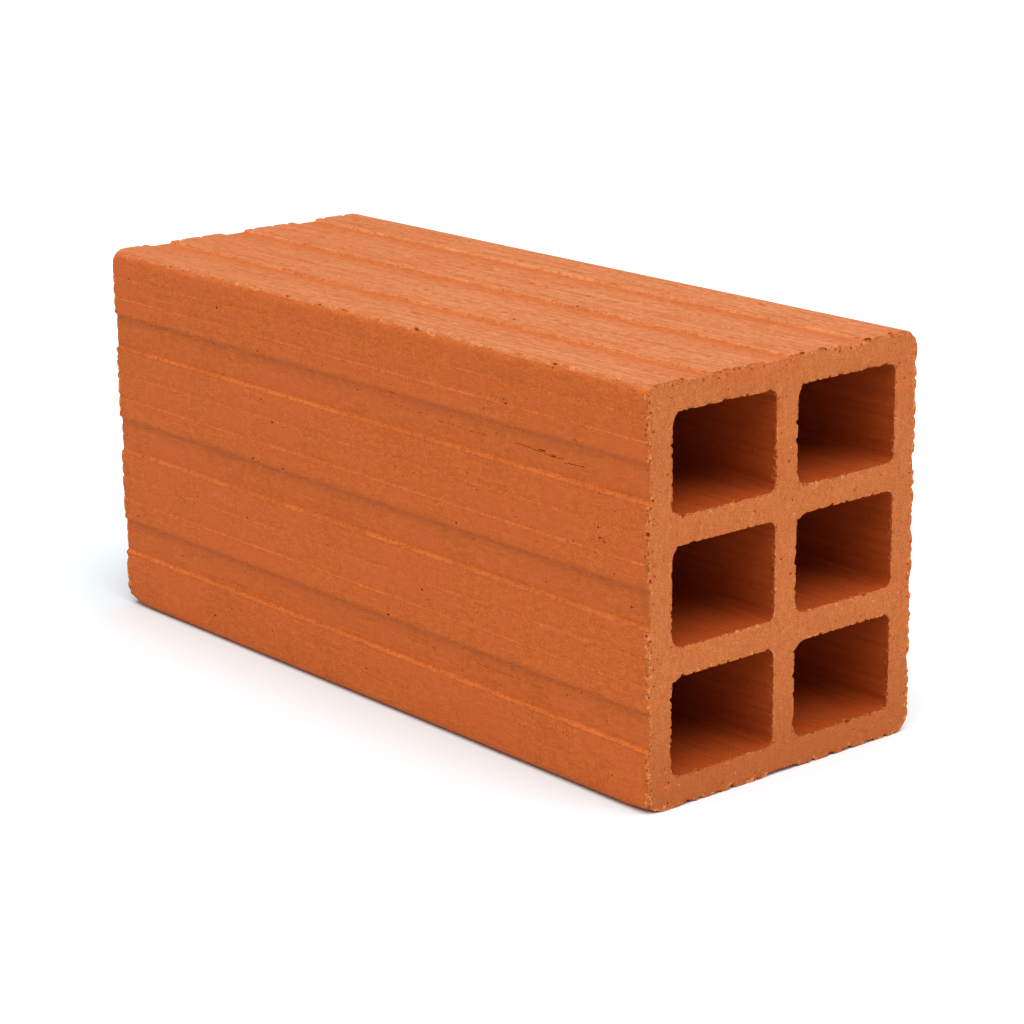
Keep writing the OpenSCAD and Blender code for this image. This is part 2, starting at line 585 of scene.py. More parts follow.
@dataclass(frozen=True)
class Wear:
    """How deep the clay is worn, in millimetres, and the grain of the wear, in waves per metre."""

    section: Section
    crumb: float = 0.80
    chip: float = 0.5
    flake: float = 0.75
    ragged: float = 0.40
    inset: float = 0.9 * MM
    crumb_grain: float = 640.0
    fine_grain: float = 1300.0
    chip_grain: float = 210.0
    wire_grain: float = 260.0
    streak_grain: tuple[float, float] = (14.0, 520.0)
    wave_grain: tuple[float, float] = (22.0, 30.0)
    ragged_grain: tuple[float, float] = (300.0, 500.0)
    lump: float = 4.2 * MM
    lump_wander: float = 90.0
    blunt_reach: float = 7.0 * MM
    blunt_top: float = 0.7
    blunt_base: float = 1.9
    blunt_back: float = 0.15

    def tear_end(self, spot: Spot) -> Span:
        """Crumbs and flakes torn out along the arrises of the cut ends.

        Args:
            spot: The point to tear.

        Returns:
            Depth of the tear in millimetres, and how worn the clay is there.
        """
        p, high = spot.p, self.section.high
        crumb = noise.noise(p * self.crumb_grain) + 0.6 * noise.noise(p * self.fine_grain)
        chip = noise.noise(p * self.chip_grain + Vector((3.1, 0.0, 0.0)))
        reach = (1.0 + 0.6 * smooth_step(0.2, 0.6, chip)) * MM
        torn = 0.06 + self.crumb * smooth_step(0.1, 0.7, crumb)
        tear = (torn + self.chip * smooth_step(0.3, 0.7, chip)) * fade(spot.arris, reach) ** 1.5
        crumbly = 0.8 * smooth_step(-0.1, 0.5, crumb)
        if spot.depth >= spot.cell_gap:
            return tear, fade(spot.arris, 1.5 * MM) * (0.40 + crumbly)
        near = fade(spot.arris, 2.4 * MM)
        tear *= 0.10 if p.x < 0.0 else 0.45 if high.y - p.y < 2.0 * MM else 0.75
        ledge = fade(spot.end_gap, 4.0 * MM) * smooth_step(1.2 * MM, 0.2 * MM, spot.depth)
        tear += self.scallop(p) * ledge
        if p.x > 0.0 and high.z - p.z < 2.2 * MM:
            flake = smooth_step(0.05, 0.40, noise.noise(Vector((p.y * 120.0, 3.0, p.x * 60.0))))
            flake *= smooth_step(high.y - 4.0 * MM, high.y - 9.0 * MM, p.y)
            tear += self.flake * flake * near
        return tear, near * (0.55 + crumbly)

    def tear_long_arris(self, spot: Spot) -> Span:
        """Crumbs along the upper front arris, where the wet clay dragged at the die.

        Args:
            spot: The point to tear.

        Returns:
            Depth of the tear in millimetres, and how worn the clay is there.
        """
        p, low, high = spot.p, self.section.low, self.section.high
        edge = math.hypot(p.y - low.y - self.inset, p.z - high.z + self.inset)
        if edge >= 2.0 * MM:
            return 0.0, 0.0
        along, across = self.ragged_grain
        near = 1.0 - smooth_step(0.3 * MM, 1.3 * MM, edge)
        rag = noise.noise(Vector((p.x * along, p.y * across, p.z * across)))
        clear = smooth_step(0.5 * MM, 3.5 * MM, spot.end_gap)
        return near * (0.12 + self.ragged * rag) * clear, near * (0.42 - 0.8 * rag)

    def drag(self, spot: Spot) -> float:
        """Drag of the die along the long walls, and ripple of the cutting wire over the ends.

        Args:
            spot: The point to drag.

        Returns:
            The depth in millimetres.
        """
        p, (along, across), (far, wide) = spot.p, self.streak_grain, self.wave_grain
        streak = noise.noise(Vector((p.x * along, p.y * across, p.z * across)))
        wave = noise.noise(Vector((p.x * far, p.y * wide + 7.0, p.z * wide)))
        long_wall = smooth_step(0.2 * MM, 1.2 * MM, spot.end_gap)
        die = long_wall * (0.06 + 0.06 * streak + 0.10 * (0.5 + 0.5 * wave))
        return die + (1.0 - long_wall) * (0.10 + 0.08 * noise.noise(p * self.wire_grain))

    def blunt(self, p: Vector) -> Vector:
        """Wear of the eight corners, the lower front ones the most.

        Args:
            p: A point near or far from a corner.

        Returns:
            The way the clay moves, in metres.
        """
        low, high = self.section.low, self.section.high
        up = 1.0 if p.z > high.z / 2 else -1.0
        away = Vector((math.copysign(1.0, p.x), math.copysign(1.0, p.y), up))
        tip_y, tip_z = high.y if away.y > 0.0 else low.y, high.z if up > 0.0 else low.z
        tip = Vector((self.section.half_length * away.x, tip_y, tip_z))
        most = self.blunt_top if up > 0.0 else self.blunt_base
        most *= self.blunt_back if away.y > 0.0 else 1.0
        return away.normalized() * (most * fade((p - tip).length, self.blunt_reach) ** 2 * MM)

    def scallop(self, p: Vector) -> float:
        """Depth of the notches between the lumps down the upright arrises.

        Args:
            p: A spot near a cut end.

        Returns:
            The depth in millimetres.
        """
        low, high = self.section.low, self.section.high
        if min(p.y - low.y, high.y - p.y) > 1.5 * MM or (p.y < 0.0 < p.x):
            return 0.0
        side = 1.0 if p.y > 0.0 else 2.0
        whole = smooth_step(high.z - 4.0 * MM, high.z - 9.0 * MM, p.z)
        wander = noise.noise(Vector((side, 0.0, p.z * self.lump_wander)))
        turn = p.z / self.lump + 0.9 * wander
        notch = (1.0 - abs(math.sin(math.pi * turn))) ** 2
        return whole * notch * (0.38 + 0.4 * noise.noise(Vector((side, 5.0, p.z * 60.0))))


@dataclass
class Slopes:
    """The walls, edges and rims of the grooves of the long faces, which catch or lose light.

    Places run up the front and the back, and from the back to the front over the two beds.
    """

    section: Section
    steep: float = 0.7
    light: float = 0.3 * MM
    lit: dict[Side, list[Span]] = field(default_factory=dict)
    shading: dict[Side, list[float]] = field(default_factory=dict)
    rims: list[float] = field(default_factory=list)

    def find(self, bm: BMesh) -> None:
        """Finds them on the near end's outline.

        Args:
            bm: The mesh before it is cut into a grid.
        """
        s, near = self.section, self.section.half_length - 0.01 * MM
        low, high = s.low, s.high
        ring = [v.co for v in bm.verts if v.co.x > near and s.skin(v.co)]
        upright = [p for p in ring if s.marked(Side.FRONT, p)]
        flat = [p for p in ring if s.marked(Side.TOP, p)]
        runs = {
            Side.FRONT: [(p.z, p.y - low.y) for p in upright if p.y < 0.0],
            Side.BACK: [(p.z, high.y - p.y) for p in upright if p.y > 0.0],
            Side.TOP: [(-p.y, high.z - p.z) for p in flat if p.z > high.z / 2],
        }
        for side, run in runs.items():
            run.sort()
            self.lit[side], self.shading[side] = [], []
            for (a, depth_a), (b, depth_b) in zip(run, run[1:]):
                lean = (depth_b - depth_a) / max(b - a, 0.01 * MM)
                if lean > self.steep:
                    self.lit[side].append((a, b))
                if side is Side.FRONT and 0.05 < lean < self.steep and depth_a < 0.05 * MM:
                    self.rims.append(a)
                if side is Side.TOP and lean > self.steep:
                    self.shading[side].append(a)
                if side is not Side.TOP and lean < -self.steep:
                    self.shading[side].append(b)
            LOG.info("%s: %d lit walls", side.name, len(self.lit[side]))

    def cuts(self, side: Side) -> list[float]:
        """Places where a long face is cut, so that its light edges stay narrow.

        Args:
            side: The long face.

        Returns:
            The places of the cuts.
        """
        rims = [(rim, rim) for rim in self.rims] if side is Side.FRONT else []
        spans = [(a - self.light, b + self.light) for a, b in self.lit[side] + rims]
        return [place for span in spans for place in span]

    def face_of(self, p: Vector) -> tuple[Side, float]:
        """Tells which long face a spot is on.

        Args:
            p: The spot.

        Returns:
            The face, and the spot's place up or back across it.
        """
        low, high, reach = self.section.low, self.section.high, 1.4 * MM
        if p.y - low.y < reach:
            return Side.FRONT, p.z
        if high.y - p.y < reach:
            return Side.BACK, p.z
        return (Side.TOP, -p.y) if high.z - p.z < reach else (Side.BASE, -p.y)

    def sheltered(self, p: Vector) -> float:
        """How much a groove's edge shades a spot of a long face.

        Args:
            p: The spot.

        Returns:
            The shade, from 0 to 1.
        """
        side, place = self.face_of(p)
        way = 1.0 if side is Side.TOP else -1.0
        gaps = [way * (place - edge) for edge in self.shading.get(side, [])]
        gap = min((gap for gap in gaps if gap > -0.05 * MM), default=None)
        if gap is None:
            return 0.0
        deep = smooth_step(0.10 * MM, 0.45 * MM, self.section.recess(p))
        if side is Side.TOP:
            return deep * math.exp(-abs(gap - 1.6 * MM) / (2.6 * MM))
        return deep * math.exp(-gap / (3.6 * MM))

    def caught(self, p: Vector, n: Vector) -> float:
        """How much a spot catches the light, on a lit wall or on a comb mark.

        Args:
            p: The spot.
            n: Its normal.

        Returns:
            The share of light, from 0 up.
        """
        side, place = self.face_of(p)
        gap = min((max(a - place, place - b, 0.0) for a, b in self.lit.get(side, [])), default=MM)
        marks = 0.0
        if side is Side.FRONT:
            gaps = ((abs(place - rim), count) for count, rim in enumerate(self.rims))
            rim_gap, count = min(gaps, default=(MM, 0))
            broken = noise.noise(Vector((p.x * 32.0, count * 9.0, 0.0)))
            strong = 0.85 if count % 2 else 1.20
            marks = (strong + 0.5 * broken) * fade(rim_gap, 0.5 * MM)
        elif self.section.marked(side, p):
            # comb-mark walls that face up on the back, or towards the front on the beds, get
            # painted highlight
            if side is Side.BACK:
                marks = 0.90 * smooth_step(0.05, 0.26, n.z)
            else:
                marks = 0.75 * smooth_step(0.15, 0.60, -n.y)
        return max(fade(gap, self.light), marks)


@dataclass
class ClayShell:
    """The brick's visible clay: the frame's own shape with a finer mesh, torn and bitten."""

    section: Section
    zone: float = 3.0 * MM
    grid: float = 1.35 * MM
    fine: float = 0.44 * MM
    long_cuts: int = 37
    cell_cuts: int = 7
    end_cuts: int = 4
    arris_cuts: int = 2
    sharp: float = math.radians(38)
    bm: BMesh = field(init=False)

    def build(self) -> bpy.types.Object:
        """Builds the shell.

        Returns:
            The finished mesh object, at the origin and unscaled.
        """
        self.bm = self.copy_frame()
        slopes = Slopes(self.section)
        slopes.find(self.bm)
        self.slice_section()
        self.slice_slopes(slopes)
        self.slice_ends()
        self.clear_diagonals()
        self.slice_length()
        LOG.info("grid: %d faces", len(self.bm.faces))
        self.weather(slopes)
        mesh = bpy.data.meshes.new("clay_shell")
        self.bm.to_mesh(mesh)
        self.bm.free()
        shell = bpy.data.objects.new("clay_shell", mesh)
        bpy.context.scene.collection.objects.link(shell)
        self.bite(shell)
        shell.data.shade_smooth()
        shell.data.set_sharp_from_angle(angle=self.sharp)
        return shell

    @staticmethod
    def copy_frame() -> BMesh:
        """Copies the frame's mesh.

        Returns:
            The mesh as one closed skin of flat faces.
        """
        bm = bmesh.new()
        bm.from_mesh(frame["nodes"][NODE].data)
        bmesh.ops.remove_doubles(bm, verts=bm.verts, dist=0.002 * MM)
        edges = {e for f in bm.faces for e in f.edges}
        edges = [e for e in edges if all(abs(f.normal.x) < 0.5 for f in e.link_faces)]
        flat = math.radians(0.4)
        bmesh.ops.dissolve_limit(
            bm, angle_limit=flat, verts=[], edges=edges, use_dissolve_boundaries=False
        )
        return bm

    def slice_at(
        self, faces: Iterable[bmesh.types.BMFace], axis: Vector, places: Iterable[float]
    ) -> None:
        """Cuts some of the faces along parallel planes.

        Args:
            faces: The faces to cut.
            axis: The planes' normal.
            places: Where each plane stands along the axis, in metres.
        """
        geom: list = list(faces)
        edges, verts = {e for f in geom for e in f.edges}, {v for f in geom for v in f.verts}
        geom += [*edges, *verts]
        for place in places:
            cut = bmesh.ops.bisect_plane(
                self.bm, geom=geom, dist=0.04 * MM, plane_co=axis * place, plane_no=axis
            )
            geom = cut["geom"]

    @staticmethod
    def steps(low: float, high: float, step: float) -> list[float]:
        """Places of evenly spaced planes between two limits, the limits left out."""
        count = round((high - low) / step)
        return [low + (high - low) * k / count for k in range(1, count)]

    def slice_section(self) -> None:
        """Cuts every wall and both ends into a grid across the section."""
        half, low, high = self.section.half_length, self.section.low, self.section.high
        self.slice_at(self.bm.faces, Vector((1, 0, 0)), (self.zone - half, half - self.zone))
        self.slice_at(self.bm.faces, Vector((0, 1, 0)), self.steps(low.y, high.y, self.grid))
        self.slice_at(self.bm.faces, Vector((0, 0, 1)), self.steps(low.z, high.z, self.grid))

    def slice_slopes(self, slopes: Slopes) -> None:
        """Cuts the long faces beside each wall and rim that catches the light.

        Args:
            slopes: The walls and rims.
        """
        for side in slopes.lit:
            outward = Vector(side.value)
            turned = [f for f in self.bm.faces if f.normal.dot(outward) > 0.6]
            faces = [f for f in turned if self.section.skin(f.calc_center_median())]
            axis = Vector((0, -1, 0)) if side is Side.TOP else Vector((0, 0, 1))
            self.slice_at(faces, axis, slopes.cuts(side))

    def slice_ends(self) -> None:
        """Cuts a finer grid round the arrises of the near end and the far upright arrises."""
        half, low, high = self.section.half_length, self.section.low, self.section.high
        deep, rim, side = 2.0 * MM, 1.1 * MM, 1.3 * MM

        def at_arris(mid: Vector) -> bool:
            """Tells whether a face's middle lies along an arris of the near end."""
            return mid.x > half - deep and self.section.rim(mid.y, mid.z) < rim

        def at_far_arris(mid: Vector) -> bool:
            """Tells whether a face's middle lies along an upright arris of the far end."""
            return mid.x < deep - half and min(mid.y - low.y, high.y - mid.y) < side

        across, up = Vector((0, 1, 0)), Vector((0, 0, 1))
        heights = self.steps(low.z, high.z, self.fine)
        coarse = self.steps(low.z, high.z, 1.5 * self.fine)
        for axis, test, places in (
            (across, at_arris, self.steps(low.y, high.y, self.fine)),
            (up, at_arris, heights),
            (up, at_far_arris, coarse),
        ):
            faces = [f for f in self.bm.faces if test(f.calc_center_median())]
            self.slice_at(faces, axis, places)

    def clear_diagonals(self) -> None:
        """Dissolves the slanted edges that the frame's triangles left on the flat ends."""
        slanted = []
        for edge in self.bm.edges:
            if len(edge.link_faces) != 2 or any(abs(f.normal.x) < 0.9 for f in edge.link_faces):
                continue
            way = edge.verts[1].co - edge.verts[0].co
            if min(abs(way.y), abs(way.z)) > 0.01 * MM:
                slanted.append(edge)
        bmesh.ops.dissolve_edges(self.bm, edges=slanted, use_verts=False, use_face_split=False)

    def slice_length(self) -> None:
        """Divides the long edges between the two ends, finer outside than in the cells."""
        low, high = self.section.low, self.section.high
        outer, inner, ends = [], [], []
        for edge in self.bm.edges:
            a, b = (v.co for v in edge.verts)
            if abs(a.x - b.x) < 0.5 * self.zone:
                continue
            if abs(a.x - b.x) < 2 * self.zone:
                ends.append(edge)
            elif self.section.gaps(a.y, a.z)[1] < 0.5 * MM:
                inner.append(edge)
            else:
                outer.append(edge)
        counts = (self.cell_cuts, self.end_cuts, self.long_cuts)
        for edges, cuts in zip((inner, ends, outer), counts):
            bmesh.ops.subdivide_edges(self.bm, edges=edges, cuts=cuts, use_grid_fill=False)
        corner, arris = 2.4 * MM, []
        for edge in self.bm.edges:
            a, b = (v.co for v in edge.verts)
            near = a.y < low.y + corner and a.z > high.z - corner
            if near and abs(a.x - b.x) > 1.5 * MM:
                arris.append(edge)
        bmesh.ops.subdivide_edges(self.bm, edges=arris, cuts=self.arris_cuts, use_grid_fill=False)

    def weather(self, slopes: Slopes) -> None:
        """Wears the clay and writes the point attributes.

        Args:
            slopes: The walls, edges and rims that catch or lose light.
        """
        low, high, half = self.section.low, self.section.high, self.section.half_length
        wear = Wear(self.section)
        self.bm.normal_update()
        layers = {mark: self.bm.verts.layers.float.new(mark.value) for mark in Mark}
        moves = []
        for vert in self.bm.verts:
            p, n = vert.co, vert.normal
            spot = Spot(p, half - abs(p.x), *self.section.gaps(p.y, p.z))
            tear, worn = wear.tear_end(spot)
            more, ragged = wear.tear_long_arris(spot)
            vert[layers[Mark.CUT]] = smooth_step(0.45 * MM, 0.0, spot.end_gap)
            vert[layers[Mark.WALL]] = 1.0 if spot.in_cell else 0.0
            vert[layers[Mark.WORN]] = max(worn, ragged)
            if not spot.in_cell and spot.end_gap > 0.1 * MM:
                # depth of the recesses, for their painted shade
                vert[layers[Mark.RECESS_SHADE]] = smooth_step(0.15, 1.0, self.section.recess(p) / MM)
                # painted highlight where walls and comb marks face the light
                vert[layers[Mark.PAINTED_HIGHLIGHT]] = slopes.caught(p, n)
                # painted shade that a groove's edge lays beside it
                vert[layers[Mark.LEDGE_SHADE]] = slopes.sheltered(p)
            if not spot.in_cell and p.z >= high.z - 3.0 * MM:
                # upward faces: pale dusting with painted sheen
                vert[layers[Mark.BLOOM]] = smooth_step(0.45, 0.8, n.z)
            moves.append(p - n * ((tear + more + wear.drag(spot)) * MM) - wear.blunt(p))
        for vert, move in zip(self.bm.verts, moves):
            vert.co = Vector(min(high[k], max(low[k], move[k])) for k in range(3))
        LOG.info("weathered: %d points", len(moves))

    def bite(self, shell: bpy.types.Object) -> None:
        """Cuts the pits, cracks and chips out of the shell.

        Args:
            shell: The shell, whose mesh is replaced.
        """
        bites = Bites(self.section)
        bites.plan()
        cutter = bites.cutter()
        bpy.context.scene.collection.objects.link(cutter)
        step = shell.modifiers.new("bites", "BOOLEAN")
        step.operation, step.solver, step.object = "DIFFERENCE", "MANIFOLD", cutter
        graph = bpy.context.evaluated_depsgraph_get()
        bitten = bpy.data.meshes.new_from_object(shell.evaluated_get(graph), depsgraph=graph)
        before, shell.data = shell.data, bitten
        shell.modifiers.clear()
        spent = cutter.data
        bpy.data.objects.remove(cutter)
        for mesh in (before, spent):
            bpy.data.meshes.remove(mesh)
        bitten.name = "clay_shell"
        bitten.materials.clear()
        bitten.polygons.foreach_set("material_index", [0] * len(bitten.polygons))
        self.drop_slivers(bitten)
        LOG.info("bitten: %d points", len(bitten.vertices))

    @staticmethod
    def drop_slivers(mesh: bpy.types.Mesh) -> None:
        """Drops the loose slivers between neighbouring bites, and keeps the one closed skin.

        Args:
            mesh: The bitten mesh, changed in place.
        """
        bm = bmesh.new()
        bm.from_mesh(mesh)
        seen = [False] * len(bm.verts)
        loose = []
        for first in bm.verts:
            if seen[first.index]:
                continue
            seen[first.index] = True
            island = [first]
            for vert in island:
                for edge in vert.link_edges:
                    other = edge.other_vert(vert)
                    if not seen[other.index]:
                        seen[other.index] = True
                        island.append(other)
            if len(island) < len(seen) // 2:
                loose += island
        LOG.info("slivers: %d loose points dropped", len(loose))
        bmesh.ops.delete(bm, geom=loose, context="VERTS")
        bm.to_mesh(mesh)
        bm.free()


@dataclass(frozen=True, eq=False)
class Wire:
    """One output of a node, so that sums of node values read as plain sums."""

    sheet: "NodeSheet"
    socket: bpy.types.NodeSocket

    def __add__(self, other: "Wire | float") -> "Wire":
        """Adds a value."""
        return self.sheet.math("ADD", self, other)

    def __sub__(self, other: "Wire | float") -> "Wire":
        """Takes a value away."""
        return self.sheet.math("SUBTRACT", self, other)

    def __rsub__(self, other: float) -> "Wire":
        """Takes this value away from a number."""
        return self.sheet.math("SUBTRACT", other, self)

    def __mul__(self, other: "Wire | float") -> "Wire":
        """Multiplies by a value."""
        return self.sheet.math("MULTIPLY", self, other)

    def ramp(self, low: float, high: float) -> "Wire":
        """Adds a smooth ramp.

        Args:
            low: Value at which the ramp is 0.
            high: Value at which it is 1.

        Returns:
            The height of the ramp.
        """
        inputs = {"Value": self, "From Min": low, "From Max": high}
        node = self.sheet.add("ShaderNodeMapRange", inputs, interpolation_type="SMOOTHSTEP")
        return self.sheet.wire(node, "Result")


class NodeSheet:
    """A short way to lay out nodes in a material or in a node group."""

    def __init__(self, tree: NodeTree) -> None:
        """Keeps the tree to work in."""
        self.tree = tree

    def add(self, kind: str, inputs: dict | None = None, **settings: object) -> Node:
        """Adds a node.

        Args:
            kind: The node's type, such as ShaderNodeMath.
            inputs: Socket name or index to a value or a wire.
            settings: Properties of the node itself.

        Returns:
            The new node.
        """
        node = self.tree.nodes.new(kind)
        for name, value in settings.items():
            setattr(node, name, value)
        for key, value in (inputs or {}).items():
            self.join(value, node.inputs[key])
        return node

    def join(self, value: object, socket: bpy.types.NodeSocket) -> None:
        """Links a wire into a socket, or sets the socket to a plain value.

        Args:
            value: The wire or the value.
            socket: The input socket.
        """
        if isinstance(value, Wire):
            self.tree.links.new(value.socket, socket)
        else:
            socket.default_value = value

    def wire(self, node: Node, output: int | str = 0) -> Wire:
        """Takes one output of a node."""
        return Wire(self, node.outputs[output])

    def math(self, operation: str, a: Wire | float, b: Wire | float, clamp: bool = False) -> Wire:
        """Adds a Math node and returns its output."""
        node = self.add("ShaderNodeMath", {0: a, 1: b}, operation=operation, use_clamp=clamp)
        return self.wire(node)

    def mix(self, amount: Wire, a: Wire | Colour, b: Wire | Colour) -> Wire:
        """Adds a colour Mix node and returns its output."""
        return self.wire(self.add("ShaderNodeMix", {0: amount, 6: a, 7: b}, data_type="RGBA"), 2)

    def coat(self, base: Wire, *coats: tuple[Wire, Wire | Colour]) -> Wire:
        """Lays coats over a base colour.

        Args:
            base: The base colour.
            coats: The amount and the colour of each coat, the lowest first.

        Returns:
            The colour of them all.
        """
        for amount, colour in coats:
            base = self.mix(amount, base, colour)
        return base

    def shared(
        self, group: NodeTree, place: Wire, values: Sequence[float]
    ) -> Node:
        """Places a shared group, with its coordinates and the values of its other inputs."""
        return self.add("ShaderNodeGroup", dict(enumerate((place, *values))), node_tree=group)

    def noise(self, place: Wire, scale: Wire, detail: float, roughness: float) -> Wire:
        """Adds a noise texture and returns its value."""
        inputs = {"Vector": place, "Scale": scale, "Detail": detail, "Roughness": roughness}
        return self.wire(self.add("ShaderNodeTexNoise", inputs), "Fac")


class SharedGroups:
    """Shader node groups that the finishes share, each built once."""

    def __init__(self) -> None:
        """Builds every group."""
        self.grain = self.make_grain()
        self.drag = self.make_drag()
        self.pinholes = self.make_pinholes()

    @staticmethod
    def open_group(
        name: str, values: dict[str, float], outputs: Sequence[str]
    ) -> tuple[NodeSheet, dict[str, Wire], Node]:
        """Starts a node group with a vector input.

        Args:
            name: Name of the group.
            values: Its other inputs, with their defaults.
            outputs: Names of its outputs.

        Returns:
            A sheet to lay nodes on, the wires of the inputs, and the output node.
        """
        tree = bpy.data.node_groups.new(name, "ShaderNodeTree")
        tree.interface.new_socket("Vector", in_out="INPUT", socket_type="NodeSocketVector")
        for key, value in values.items():
            made = tree.interface.new_socket(key, in_out="INPUT", socket_type="NodeSocketFloat")
            made.default_value = value
        for key in outputs:
            tree.interface.new_socket(key, in_out="OUTPUT", socket_type="NodeSocketFloat")
        sheet = NodeSheet(tree)
        enter, leave = sheet.add("NodeGroupInput"), sheet.add("NodeGroupOutput")
        return sheet, {key: sheet.wire(enter, key) for key in ("Vector", *values)}, leave

    def make_grain(self) -> NodeTree:
        """Sandy grain of fired clay: a height, and a mottle that colours follow.

        Returns:
            The group.
        """
        sheet, given, leave = self.open_group(
            "sandy_grain", {"Grain": 2200.0, "Mottle": 90.0}, ("Height", "Tone")
        )
        fine = sheet.noise(given["Vector"], given["Grain"], 2.0, 0.6)
        broad = sheet.noise(given["Vector"], given["Mottle"], 5.0, 0.62)
        sheet.join(fine, leave.inputs["Height"])
        sheet.join(broad, leave.inputs["Tone"])
        return sheet.tree

    def make_drag(self) -> NodeTree:
        """Lines that the die drags along the clay, running with X.

        Returns:
            The group.
        """
        sheet, given, leave = self.open_group(
            "die_drag", {"Fineness": 900.0, "Stretch": 0.05}, ("Height",)
        )
        ratio = sheet.add("ShaderNodeCombineXYZ", {"X": given["Stretch"], "Y": 1.0, "Z": 1.0})
        inputs = {0: given["Vector"], 1: sheet.wire(ratio)}
        drawn = sheet.wire(sheet.add("ShaderNodeVectorMath", inputs, operation="MULTIPLY"))
        sheet.join(sheet.noise(drawn, given["Fineness"], 3.0, 0.65), leave.inputs["Height"])
        return sheet.tree

    def make_pinholes(self) -> NodeTree:
        """Scattered round pinholes, as a mask that is 1 inside a hole.

        Returns:
            The group.
        """
        sheet, given, leave = self.open_group(
            "pinholes", {"Spacing": 260.0, "Size": 0.10, "Share": 0.35}, ("Mask",)
        )
        inputs = {"Vector": given["Vector"], "Scale": given["Spacing"]}
        spread = sheet.add("ShaderNodeTexVoronoi", inputs)
        chance = sheet.add("ShaderNodeSeparateColor", {"Color": sheet.wire(spread, "Color")})
        present = sheet.math("LESS_THAN", sheet.wire(chance, "Red"), given["Share"])
        size = given["Size"] * (sheet.wire(chance, "Green") + 0.4)
        inside = size - sheet.wire(spread, "Distance")
        edge = sheet.math("DIVIDE", inside, size * 0.5, clamp=True)
        sheet.join(edge * present, leave.inputs["Mask"])
        return sheet.tree


